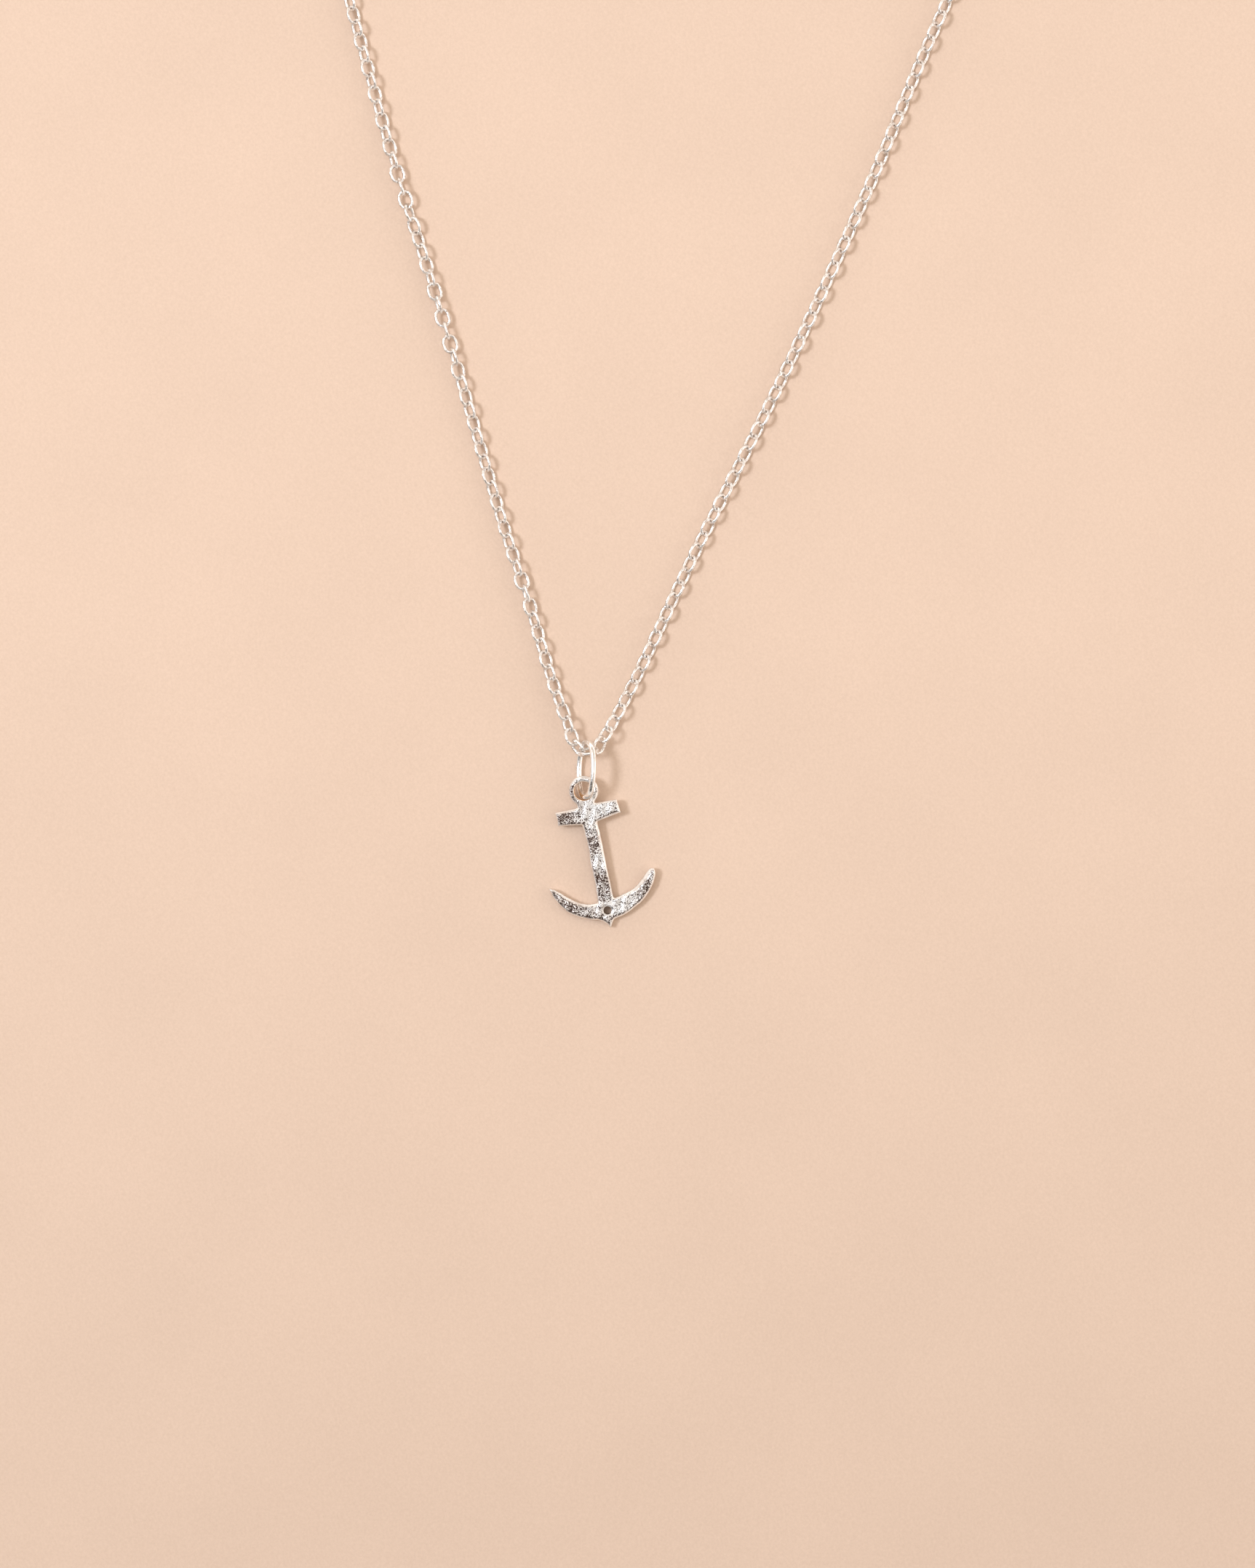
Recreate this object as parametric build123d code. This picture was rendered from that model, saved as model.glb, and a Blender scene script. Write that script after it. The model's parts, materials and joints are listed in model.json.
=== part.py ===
from build123d import *
from math import asin, atan2, ceil, cos, degrees, hypot, isclose, radians, sin, sqrt
import os

os.makedirs("parts", exist_ok=True)

# A silver anchor pendant on its cable chain, laid flat, with the closed chain opened out above it.
# Millimetres and degrees. The surface it lies on is Z = 0, and the pendant lies towards -Y.

# Anchor casting: drops are measured down from the middle of the eye
PLATE_THICKNESS = 1.2
EDGE_BEVEL = 0.26
EYE_OUTER = 3.8
EYE_HOLE = 2.25
EYE_RIM_BEVEL = 0.3
NECK_WIDTH = 2.3
STOCK_LENGTH = 8.17
STOCK_DEPTH = 1.73
STOCK_DROP = 2.85
STOCK_BOW = 0.45
STOCK_TURN = 1.1
SHANK_WIDTH = 1.95
ARM_OUTER_RADIUS = 7.14
ARM_DEPTH = 2.4
FLUKE_WIDTH = 0.86
CROWN_DROP = 16.85
FLUKE_DROP = 11.42
FLUKE_SLOPE = 22.0
RIGHT_FLUKE_ROUND = 0.35
SPUR_LENGTH = 0.93
SPUR_WIDTH = 1.9
CROWN_HOLE = 1.05
CROWN_HOLE_RISE = 1.3

# Jump ring, an oval of round wire: its lengths are of the wire's middle
RING_WIRE = 0.8
RING_LENGTH = 6.87
RING_WIDTH = 4.26
RING_END_RADIUS = 1.85

# Cable chain link of round wire, measured over the wire
LINK_WIRE = 0.37
LINK_LENGTH = 2.6
LINK_WIDTH = 2.0
LINK_GAP = 0.108

# Clasp ring with its soldered eye
CLASP_OUTER = 5.5
CLASP_WIRE = 0.9
CLASP_EYE_OUTER = 2.3
CLASP_EYE_WIRE = 0.6

# How the pieces lie: places from the middle of the layout, turns from +X, lean from the surface
EYE_PLACE = (-5.60, -0.84)
ANCHOR_TURN = 11.3
RING_SIDE = 0.226
RING_END_GAP = 0.022
RING_TURN = 88.1
RING_LEAN = 64.0
RING_EYE_GAP = 0.2
CLASP_PLACE = (0.6, 169.4)
CLASP_TURN = 4.0

# Chosen points of the chain's way round, from the pendant to the clasp
LEFT_ROUTE = [
    (-9.65, 13.40), (-11.96, 21.15), (-15.57, 32.28), (-18.87, 43.41), (-22.13, 54.55),
    (-25.47, 65.68), (-29.00, 76.81), (-32.19, 87.94), (-35.2, 99.1), (-39.2, 115.5),
    (-40.4, 132.0), (-34.6, 149.5), (-20.6, 163.2), (-8.0, 168.2),
]
RIGHT_ROUTE = [
    (2.09, 15.58), (7.26, 26.72), (12.79, 37.85), (18.38, 48.98), (23.60, 60.11),
    (28.64, 71.24), (33.39, 82.37), (37.94, 93.51), (40.4, 99.1), (46.4, 115.5),
    (48.4, 132.0), (42.8, 149.8), (28.6, 163.4), (11.0, 169.6),
]

# Turn of each side's links about their own line: distance from the pendant, added turn
LEFT_TWIST = [
    (0.0, 0), (13.3, 4), (15.3, -13), (17.2, -29), (18.9, -21), (21.5, 4), (45.3, 4),
    (47.3, -14), (51.0, -35), (54.5, -25), (58.1, -14), (61.0, 0), (64.3, 10), (66.9, 20),
    (70.3, 49), (73.8, 72), (76.4, 88), (84.0, 85), (93.0, 92),
]
RIGHT_TWIST = [(0.0, 0), (12.0, 4), (30.0, -5), (55.0, 5), (80.0, -3), (100.0, 0)]

# The links at the pendant, left to right: middle x, y, z in link pitches from the place under the
# ring's head, then heading, climb and roll
KNOT = [
    (-1.395, 2.099, -0.499, -72, 12, 54),
    (-1.104, 1.185, -0.294, -72, 8, -32),
    (-0.647, 0.375, -0.231, -52, 3, 54),
    (0.158, 0.152, 0.049, 10, 0, -65),
    (0.911, 0.592, -0.237, 65, -8, 42),
    (1.356, 1.362, -0.322, 60, -12, -45),
    (1.830, 2.156, -0.579, 60, -8, 45),
]
KNOT_SETTLE = 8.0
CLASP_UNTWIST = 16.0

# Sizes that follow from those above
LINK_ARC = (LINK_WIDTH - LINK_WIRE) / 2
LINK_STRAIGHT = LINK_LENGTH - LINK_WIDTH
LINK_PITCH = LINK_LENGTH - 2 * LINK_WIRE - LINK_GAP
CLASP_ARC = (CLASP_OUTER - CLASP_WIRE) / 2
CLASP_EYE_ARC = (CLASP_EYE_OUTER - CLASP_EYE_WIRE) / 2
CLASP_EYE_REACH = CLASP_ARC + CLASP_WIRE / 2 + CLASP_EYE_ARC
CLASP_HEIGHT = LINK_WIRE + LINK_GAP + CLASP_WIRE / 2
ANCHOR_TIP_DROP = CROWN_DROP + SPUR_LENGTH
ANCHOR_LIFT = RING_WIRE + RING_EYE_GAP
RING_HEIGHT = RING_WIRE / 2 + RING_WIDTH / 2 * sin(radians(RING_LEAN))
RING_END_DROP = EYE_HOLE / 2 - RING_WIRE / 2 - RING_END_GAP
KNOT_DROP = RING_WIRE / 2 + LINK_WIDTH / 2


# Round wire swept along a closed path
def wire_loop(path, wire):
    section = Plane(origin=path @ 0, z_dir=path % 0) * Circle(wire / 2)
    return sweep(section, path=path)


def link_solid():
    half = LINK_STRAIGHT / 2
    outline = Wire([
        Line((-half, -LINK_ARC), (half, -LINK_ARC)),
        ThreePointArc((half, -LINK_ARC), (half + LINK_ARC, 0), (half, LINK_ARC)),
        Line((half, LINK_ARC), (-half, LINK_ARC)),
        ThreePointArc((-half, LINK_ARC), (-half - LINK_ARC, 0), (-half, -LINK_ARC)),
    ])
    return wire_loop(outline, LINK_WIRE)


# Oval of four tangent arcs, its length along X
def jump_ring_solid():
    a = RING_LENGTH / 2
    b = RING_WIDTH / 2
    run = a - RING_END_RADIUS
    side_radius = (run**2 + b**2 - RING_END_RADIUS**2) / (2 * (b - RING_END_RADIUS))
    side_turn = atan2(run, side_radius - b)
    x = side_radius * sin(side_turn)
    y = side_radius * cos(side_turn) - (side_radius - b)
    oval = Wire([
        ThreePointArc((-x, y), (0, b), (x, y)),
        ThreePointArc((x, y), (a, 0), (x, -y)),
        ThreePointArc((x, -y), (0, -b), (-x, -y)),
        ThreePointArc((-x, -y), (-a, 0), (-x, y)),
    ])
    return wire_loop(oval, RING_WIRE)


# The leaning ring rests on its lower side, with one end in the anchor's eye
def ring_place():
    end = Pos(EYE_PLACE[0] + RING_SIDE, EYE_PLACE[1] - RING_END_DROP, RING_HEIGHT)
    return end * Rot(0, 0, RING_TURN) * Pos(RING_LENGTH / 2, 0, 0) * Rot(-RING_LEAN, 0, 0)


def laid_ring():
    return ring_place() * jump_ring_solid()


# The anchor is drawn with its eye at the origin and its crown towards -Y
def arms_face():
    outer_middle = ARM_OUTER_RADIUS - CROWN_DROP
    point_x = sqrt(ARM_OUTER_RADIUS**2 - (outer_middle + FLUKE_DROP) ** 2)
    # The inner edge is the arc through the top of the crown and the foot of each fluke
    rise = CROWN_DROP - ARM_DEPTH - FLUKE_DROP
    inner_radius = ((point_x - FLUKE_WIDTH) ** 2 + rise**2) / (2 * rise)
    inner_middle = inner_radius + ARM_DEPTH - CROWN_DROP
    crescent = Pos(0, outer_middle) * Circle(ARM_OUTER_RADIUS)
    crescent -= Pos(0, inner_middle) * Circle(inner_radius)
    above_flukes = Rectangle(4 * ARM_OUTER_RADIUS, 4 * ARM_OUTER_RADIUS, align=(Align.CENTER, Align.MIN))
    crescent -= Pos(0, -FLUKE_DROP) * above_flukes
    # The top of each fluke slopes up to its point
    slope_cut = Rectangle(ARM_OUTER_RADIUS / 2, ARM_OUTER_RADIUS / 2, align=(Align.MAX, Align.MIN))
    slope = Pos(point_x, -FLUKE_DROP) * Rot(0, 0, FLUKE_SLOPE) * slope_cut
    return crescent - slope - mirror(slope, Plane.YZ)


def spur_face():
    half = SPUR_WIDTH / 2
    root = EDGE_BEVEL - CROWN_DROP
    return Polygon((-half, root), (0, -ANCHOR_TIP_DROP), (half, root), align=None)


def stock_face():
    half = STOCK_LENGTH / 2
    edge = STOCK_DEPTH / 2
    outline = Wire([
        Line((-half, edge), (half, edge)),
        Line((half, edge), (half, -edge)),
        ThreePointArc((half, -edge), (0, -edge - STOCK_BOW), (-half, -edge)),
        Line((-half, -edge), (-half, edge)),
    ])
    return Pos(0, -STOCK_DROP) * Rot(0, 0, STOCK_TURN) * make_face(outline)


def anchor_solid():
    shank_end = CROWN_DROP - ARM_DEPTH / 2
    shank_middle = (STOCK_DROP + shank_end) / 2
    shank = Pos(0, -shank_middle) * Rectangle(SHANK_WIDTH, shank_end - STOCK_DROP)
    neck = Rectangle(NECK_WIDTH, STOCK_DROP, align=(Align.CENTER, Align.MAX))
    plate = Circle(EYE_OUTER / 2) + neck + stock_face() + shank + arms_face() + spur_face()
    body = extrude(plate, PLATE_THICKNESS / 2, both=True)
    right_point = body.edges().filter_by(Axis.Z).sort_by(Axis.X)[-1]
    body = fillet(right_point, RIGHT_FLUKE_ROUND)
    body = chamfer(body.edges().filter_by(Plane.XY), EDGE_BEVEL)
    body -= Cylinder(EYE_HOLE / 2, 2 * PLATE_THICKNESS)
    rims = body.edges().filter_by(GeomType.CIRCLE).filter_by(lambda e: isclose(e.radius, EYE_HOLE / 2))
    body = chamfer(rims, EYE_RIM_BEVEL)
    return body - Pos(0, CROWN_HOLE_RISE - CROWN_DROP) * Cylinder(CROWN_HOLE / 2, 2 * PLATE_THICKNESS)


# The anchor lies with its eye propped on the ring and the tip of its crown on the surface
def laid_anchor():
    tilt = degrees(asin(ANCHOR_LIFT / ANCHOR_TIP_DROP))
    turned = Rot(0, 0, ANCHOR_TURN) * Rot(tilt, 0, 0) * anchor_solid()
    return Pos(*EYE_PLACE, -turned.bounding_box().min.Z) * turned


def laid_clasp():
    ring = Torus(CLASP_ARC, CLASP_WIRE / 2)
    eye = Pos(CLASP_EYE_REACH, 0) * Torus(CLASP_EYE_ARC, CLASP_EYE_WIRE / 2)
    return Pos(*CLASP_PLACE, CLASP_HEIGHT) * Rot(0, 0, CLASP_TURN) * (ring + eye)


# Where a link lies, with its length along the heading and climb
def link_place(middle, heading, climb, roll):
    return Pos(*middle) * Rot(0, 0, heading) * Rot(0, -climb, 0) * Rot(roll, 0, 0)


def along(place, distance):
    return (place * Pos(distance, 0, 0)).position


def from_table(table, distance):
    for (low, low_turn), (high, high_turn) in zip(table, table[1:]):
        if distance <= high:
            return low_turn + (high_turn - low_turn) * (distance - low) / (high - low)
    return table[-1][1]


# Height of the chain's line over the surface where its links are turned by this angle
def resting_height(turn):
    return LINK_ARC * max(abs(sin(radians(turn))), abs(cos(radians(turn)))) + LINK_WIRE / 2


# Last link of a side, standing on its edge round the clasp's wire
def clasp_link(clasp_x, heading):
    seat = Pos(*CLASP_PLACE, 0) * Rot(0, 0, CLASP_TURN) * Pos(clasp_x, 0, resting_height(90))
    return link_place(seat.position, heading, 0, 90) * Pos(-LINK_STRAIGHT / 2, 0, 0)


# Links from one side of the knot to the clasp, equally spaced along their route
def side_links(start, first_turn, route, twist, last):
    end = along(last, -LINK_PITCH / 2)
    line = Spline([(start.X, start.Y), *route, (end.X, end.Y)])
    count = ceil(line.length / LINK_PITCH)
    spacing = line.length / count
    last_turn = first_turn + 90 * (count + 1) + from_table(twist, line.length)
    untwist = (180 - last_turn) % 180 - 90
    joints = []
    turns = []
    rises = []
    for k in range(count + 1):
        distance = k * spacing
        near_clasp = max(0, 1 - (line.length - distance) / CLASP_UNTWIST)
        turn = first_turn + from_table(twist, distance) + untwist * near_clasp
        rise = (start.Z - resting_height(first_turn)) * max(0, 1 - distance / KNOT_SETTLE) ** 2
        spot = line @ (k / count)
        joints.append(Vector(spot.X, spot.Y, resting_height(turn) + rise))
        turns.append(turn)
        rises.append(rise)
    places = []
    for k in range(count):
        way = joints[k + 1] - joints[k]
        middle = joints[k] + way * 0.5
        heading = degrees(atan2(way.Y, way.X))
        climb = degrees(atan2(way.Z, hypot(way.X, way.Y)))
        turn = (turns[k] + turns[k + 1]) / 2
        height = resting_height(turn) + (rises[k] + rises[k + 1]) / 2
        places.append(link_place((middle.X, middle.Y, height), heading, climb, turn + 90 * (k + 1)))
    print("side of", count, "links,", round(line.length, 2), "long,", round(spacing, 4), "apart")
    return places + [last]


def chain_links():
    under_head = (ring_place() * Pos(RING_LENGTH / 2, 0, 0)).position - Vector(0, KNOT_DROP, 0)
    knot = [link_place(under_head + Vector(row[:3]) * LINK_PITCH, *row[3:]) for row in KNOT]
    left_start = along(knot[0], -LINK_PITCH / 2)
    left_end = clasp_link(-CLASP_ARC, CLASP_TURN)
    left = side_links(left_start, -KNOT[0][5], LEFT_ROUTE, LEFT_TWIST, left_end)
    right_start = along(knot[-1], LINK_PITCH / 2)
    right_end = clasp_link(CLASP_EYE_REACH + CLASP_EYE_ARC, CLASP_TURN + 180)
    right = side_links(right_start, KNOT[-1][5], RIGHT_ROUTE, RIGHT_TWIST, right_end)
    link = link_solid()
    return [link.moved(place) for place in left[::-1] + knot + right]


links = chain_links()
nodes = {
    "anchor": laid_anchor(),
    "jump_ring": laid_ring(),
    "clasp": laid_clasp(),
    "chain": Compound(links),
}

# The whole is moved so that it stands centred on the origin
boxes = [shape.bounding_box() for shape in nodes.values()]
low = Vector(min(b.min.X for b in boxes), min(b.min.Y for b in boxes), min(b.min.Z for b in boxes))
high = Vector(max(b.max.X for b in boxes), max(b.max.Y for b in boxes), max(b.max.Z for b in boxes))
print("links", len(links), "size", high - low)
shift = Pos(-(low.X + high.X) / 2, -(low.Y + high.Y) / 2, -low.Z)
print("layout middle lies at", shift.position)

for name, shape in nodes.items():
    export_step(shift * shape, f"parts/{name}.step")
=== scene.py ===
"""A silver anchor pendant on its cable chain, lying on pale paper."""

import json
import math

import bpy
import numpy as np
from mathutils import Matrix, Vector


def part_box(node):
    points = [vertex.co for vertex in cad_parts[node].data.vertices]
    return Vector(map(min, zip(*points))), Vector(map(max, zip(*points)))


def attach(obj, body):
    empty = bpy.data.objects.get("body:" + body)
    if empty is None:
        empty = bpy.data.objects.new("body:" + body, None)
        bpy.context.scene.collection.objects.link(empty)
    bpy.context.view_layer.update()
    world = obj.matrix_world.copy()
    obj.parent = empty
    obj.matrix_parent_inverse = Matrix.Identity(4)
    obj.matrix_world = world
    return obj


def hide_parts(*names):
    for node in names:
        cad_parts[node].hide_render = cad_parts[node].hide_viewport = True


bl_info = {
    "name": "Anchor Pendant Necklace",
    "version": (1, 0, 0),
    "blender": (4, 5, 0),
    "location": "View3D > Sidebar > Necklace",
    "description": "Makes a silver anchor pendant, its jump ring, cable chain and clasp",
    "category": "Object",
}

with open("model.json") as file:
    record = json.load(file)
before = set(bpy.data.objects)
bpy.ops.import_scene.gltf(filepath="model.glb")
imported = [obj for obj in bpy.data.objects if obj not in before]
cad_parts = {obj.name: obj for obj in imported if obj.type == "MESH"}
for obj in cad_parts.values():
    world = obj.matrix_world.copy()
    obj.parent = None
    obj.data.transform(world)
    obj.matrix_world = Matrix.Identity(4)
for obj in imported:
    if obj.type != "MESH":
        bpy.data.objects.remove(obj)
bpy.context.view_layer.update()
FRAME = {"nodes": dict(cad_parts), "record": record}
BODY = "root"
MM = 0.001

# Outline of the anchor in millimetres from the middle of its eye, as measured: drops are
# negative, and the front of the plate faces up.
# Stock, left to right: place along it, lower edge, upper edge
STOCK_ROWS = [
    (-4.09, -3.79, -2.06),
    (-2.60, -4.02, -2.04),
    (-1.20, -4.22, -2.01),
    (0.00, -4.27, -1.91),
    (1.00, -4.17, -1.82),
    (2.46, -3.89, -1.86),
    (4.11, -3.63, -1.91),
]
# Shank and neck, bottom to top: height, left edge, right edge
SHANK_ROWS = [
    (-14.80, -1.08, 1.12),
    (-14.00, -0.99, 1.06),
    (-11.90, -0.87, 1.06),
    (-9.94, -0.97, 0.99),
    (-8.22, -0.90, 1.02),
    (-7.07, -0.87, 1.04),
    (-5.50, -0.93, 1.01),
    (-4.24, -0.99, 0.92),
    (-2.40, -1.15, 1.02),
    (-1.30, -1.20, 1.08),
]
# Spur under the crown, tip to root: height, left edge, right edge
SPUR_ROWS = [
    (-17.80, 0.00, -0.04),
    (-17.51, -0.24, 0.18),
    (-17.20, -0.46, 0.34),
    (-16.87, -0.79, 0.58),
    (-16.55, -1.33, 1.20),
    (-16.00, -2.20, 2.20),
]
# Arms, left tip to right tip: degrees from straight down, inner radius, outer radius
ARM_ROWS = [
    (-78.0, 7.30, 6.90),
    (-76.2, 6.98, 6.98),
    (-72.7, 6.46, 7.06),
    (-64.6, 5.96, 7.12),
    (-51.5, 5.58, 7.18),
    (-45.0, 5.48, 7.22),
    (-38.0, 5.36, 7.10),
    (-25.1, 5.10, 7.01),
    (-11.9, 4.74, 6.95),
    (0.0, 4.62, 7.02),
    (15.0, 4.60, 7.04),
    (29.2, 4.76, 6.98),
    (40.2, 5.12, 7.12),
    (50.7, 5.43, 7.18),
    (61.3, 5.70, 7.26),
    (69.2, 6.02, 7.28),
    (73.0, 6.24, 7.22),
    (75.0, 6.42, 7.08),
    (76.4, 6.64, 6.92),
    (77.5, 6.80, 6.80),
]
ARM_CENTRE = (0.07, -9.74)
# Where the rim is filed wider: x, y, facing in degrees from straight right, added width, reach
FILED_SPOTS = [
    (5.6, -12.3, 125, 0.38, 1.5),
    (3.6, -13.9, 110, 0.16, 1.4),
    (-4.6, -13.6, 75, 0.20, 2.0),
    (-2.0, -14.2, 85, 0.12, 1.2),
    (-3.0, -2.0, 90, 0.10, 1.4),
    (1.0, -6.5, 0, 0.16, 2.2),
    (3.4, -3.8, -80, 0.10, 1.2),
    (0.9, 1.7, 60, 0.12, 0.9),
]
# Painted shade and painted highlight on the faces, for their uneven reflections: darker patches, and
# brighter ones where the amount is negative: x, y, reach, amount
SHADE_AND_SHEEN_SPOTS = [
    (-3.2, -3.1, 1.1, 0.9),
    (-0.1, -6.4, 1.0, 0.35),
    (0.1, -7.4, 0.5, 0.5),
    (0.2, -13.0, 1.1, 0.35),
    (-4.3, -14.2, 1.6, 0.6),
    (5.6, -13.4, 1.0, 0.5),
    (-1.3, 0.1, 1.1, 0.6),
    (0.5, 1.5, 0.8, -0.8),
    (1.3, -2.7, 1.5, -0.8),
    (0.5, -9.3, 0.8, -0.5),
    (-0.3, -10.9, 0.9, 0.4),
    (0.6, -11.6, 0.7, 0.3),
    (2.0, -15.4, 1.4, -0.7),
]
# Gentle hollows and swells of the cast faces: wave length along x and y, phase, height
FACE_WAVES = [
    (2.9, 1.7, 0.4, 0.014),
    (-1.6, 2.3, 2.1, 0.010),
    (1.1, -3.4, 4.0, 0.008),
    (0.9, 0.8, 1.3, 0.004),
]
CROWN_HOLE_DROP = 15.55
# Corners of the grid that the outline is traced on
OUTLINE_LOW = (-7.4, -18.2)
OUTLINE_HIGH = (7.4, 2.2)
# Soft edges of the cast faces: the outer rim's drop as a share of its width and its fullness, the
# eye's rim, and the crown hole's rim, which is wider on its right
RIM_DROP, RIM_FULLNESS = 0.82, 1.15
EYE_RIM, EYE_RIM_DROP, EYE_RIM_FULLNESS = 0.26, 0.24, 1.7
CROWN_RIM, CROWN_RIM_ADDED, CROWN_RIM_DROP = 0.05, 0.24, 0.36
FACE_SINK = 0.03
FACE_DULL = 0.36
# Painted shade: a dark line of pits inside the rims that face the near left: its place in rims, reach,
# facing, amount
SHADE_LINE_PLACE, SHADE_LINE_REACH, SHADE_LINE_FACING, SHADE_LINE_AMOUNT = 1.1, 0.13, 240, 1.1
# Clasp: its turn in degrees, and the solder's half width, half length, half height and overlap
CLASP_TURN = 4
SOLDER_WIDTH, SOLDER_LENGTH, SOLDER_HEIGHT, SOLDER_OVERLAP = 0.24, 0.42, 0.27, 0.06
# Stage, in metres: the middle of the view, half the paper's side and its level, and the lights
VIEW = (-3.918 * MM, -76.942 * MM, 0.0)
PAPER_HALF = 1.6
PAPER_LEVEL = -0.00002
KEY_PLACE, KEY_SIZE, KEY_COLOUR = (-0.884, 0.045, 1.294), 0.34, (0.93, 1.0, 1.12)
FILL_PLACE, FILL_SIZE, FILL_COLOUR = (0.66, -0.06, 0.56), 0.45, (1.0, 1.0, 1.0)
# Room: the skylight's direction, the near left's direction, and the colours of dim and bright places
SKY_WAY = (-0.41, 0.17, 0.896)
NEAR_LEFT = (-0.62, -0.78, 0.0)
DIM_COLOUR = (1.0, 0.83, 0.69, 1)
BRIGHT_COLOUR = (1.0, 0.97, 0.94, 1)


def smooth_table(rows, column, places, blur):
    """Values of a short table's column at the given places: straight lines between its rows,
    averaged over a small window so that the corners between the lines are rounded."""
    rows = np.array(rows)
    window = np.linspace(-blur, blur, 9)
    return sum(np.interp(places + w, rows[:, 0], rows[:, column]) for w in window) / len(window)


def smooth_union(a, b, reach):
    """Lower of two outline fields, with a small round where they meet at equal values."""
    near = np.maximum(reach - np.abs(a - b), 0) / reach
    return np.minimum(a, b) - near * near * reach / 4


def anchor_field(x, y, plate):
    """Negative inside the anchor's outline, positive outside, and about the distance to it near it:
    the union of the eye's disc, the stock, the shank, the arms and the spur, less the two holes."""
    eye = np.hypot(x, y) - plate.eye_outer / MM / 2
    stock_end = 3.915 + 0.113 * (-1.90 - y)
    stock = np.maximum.reduce([
        smooth_table(STOCK_ROWS, 1, x, 0.25) - y,
        y - smooth_table(STOCK_ROWS, 2, x, 0.25),
        -4.085 - x,
        x - stock_end,
    ])
    shank = np.maximum.reduce([
        smooth_table(SHANK_ROWS, 1, y, 0.4) - x,
        x - smooth_table(SHANK_ROWS, 2, y, 0.4),
        -15.5 - y,
        y + 0.9,
    ])
    dx, dy = x - ARM_CENTRE[0], y - ARM_CENTRE[1]
    radius = np.hypot(dx, dy)
    angle = np.degrees(np.arctan2(dx, -dy))
    arms = np.maximum.reduce([
        smooth_table(ARM_ROWS, 1, angle, 1.2) - radius,
        radius - smooth_table(ARM_ROWS, 2, angle, 1.2),
        0.12 * (angle - 75.9),
    ])
    spur = np.maximum.reduce([
        smooth_table(SPUR_ROWS, 1, y, 0.06) - x,
        x - smooth_table(SPUR_ROWS, 2, y, 0.06),
        y + 16.0,
        -17.8 - y,
    ])
    field = smooth_union(eye, shank, 0.25)
    field = smooth_union(field, stock, 0.22)
    field = smooth_union(field, arms, 0.30)
    field = smooth_union(field, spur, 0.10)
    eye_hole = plate.eye_hole / MM / 2 - np.hypot(x, y)
    crown_hole = plate.crown_hole / MM / 2 - np.hypot(x, y + CROWN_HOLE_DROP)
    return np.maximum.reduce([field, eye_hole, crown_hole])


def outline_sheet(field, low, high, step):
    """Squares that fill the outline where field is negative. Each grid point inside is one square
    whose corners are the middles of the four cells round it, and the corner of a cell that the
    outline crosses is moved to the mean of its crossings. Returns the corners, the squares, and the
    directed edges on the outline with the inside on their left."""
    xs = np.arange(low[0], high[0] + step, step)
    ys = np.arange(low[1], high[1] + step, step)
    values = field(*np.meshgrid(xs, ys, indexing="ij"))
    inside = values < 0
    nx, ny = values.shape
    total = np.zeros((nx - 1, ny - 1, 2))
    count = np.zeros((nx - 1, ny - 1))
    # Crossings on the edges along x, shared by the cells above and below
    a, b = values[:-1], values[1:]
    crossed = (a < 0) != (b < 0)
    share = np.where(crossed, a / np.where(crossed, a - b, 1), 0)
    spot = np.stack([xs[:-1, None] + share * step, np.broadcast_to(ys, share.shape)], -1)
    for part in (slice(None, -1), slice(1, None)):
        total += spot[:, part] * crossed[:, part, None]
        count += crossed[:, part]
    # Crossings on the edges along y, shared by the cells to the left and right
    a, b = values[:, :-1], values[:, 1:]
    crossed = (a < 0) != (b < 0)
    share = np.where(crossed, a / np.where(crossed, a - b, 1), 0)
    spot = np.stack([np.broadcast_to(xs[:, None], share.shape), ys[:-1] + share * step], -1)
    for part in (slice(None, -1), slice(1, None)):
        total += spot[part] * crossed[part, :, None]
        count += crossed[part]
    middle = np.stack(np.meshgrid(xs[:-1] + step / 2, ys[:-1] + step / 2, indexing="ij"), -1)
    corners = np.where(count[..., None] > 0, total / np.maximum(count, 1)[..., None], middle)
    cell = np.arange((nx - 1) * (ny - 1)).reshape(nx - 1, ny - 1)
    i, j = np.nonzero(inside[1:-1, 1:-1])
    around = [cell[i, j], cell[i + 1, j], cell[i + 1, j + 1], cell[i, j + 1]]
    squares = np.stack(around, -1)
    mask = inside[1:-1, 1:-1]
    edges = []
    for side, (di, dj) in enumerate([(0, -1), (1, 0), (0, 1), (-1, 0)]):
        open_side = mask & ~inside[1 + di:nx - 1 + di, 1 + dj:ny - 1 + dj]
        chosen = open_side[i, j]
        edges.append(np.stack([around[side][chosen], around[(side + 1) % 4][chosen]], -1))
    used, squares_new = np.unique(squares, return_inverse=True)
    place = np.full(cell.size, -1)
    place[used] = np.arange(len(used))
    return corners.reshape(-1, 2)[used], squares_new.reshape(-1, 4), place[np.concatenate(edges)]


def nearest_edge(points, starts, ends):
    """Distance from each point to the nearest of the straight edges, and which edge that is."""
    best = np.empty(len(points))
    which = np.empty(len(points), int)
    way = ends - starts
    length = np.maximum((way * way).sum(1), 1e-12)
    for first in range(0, len(points), 2000):
        p = points[first:first + 2000, None]
        along = np.clip(((p - starts) * way).sum(2) / length, 0, 1)
        gap = np.linalg.norm(p - starts - along[..., None] * way, axis=2)
        which[first:first + 2000] = gap.argmin(1)
        best[first:first + 2000] = gap.min(1)
    return best, which


def edge_drop(depth, width, drop, fullness):
    """How far the face falls at this depth inside the edge: a quarter of a superellipse."""
    share = np.clip(1 - depth / width, 0, 1)
    return drop * (1 - (1 - share**fullness) ** (1 / fullness))


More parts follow.
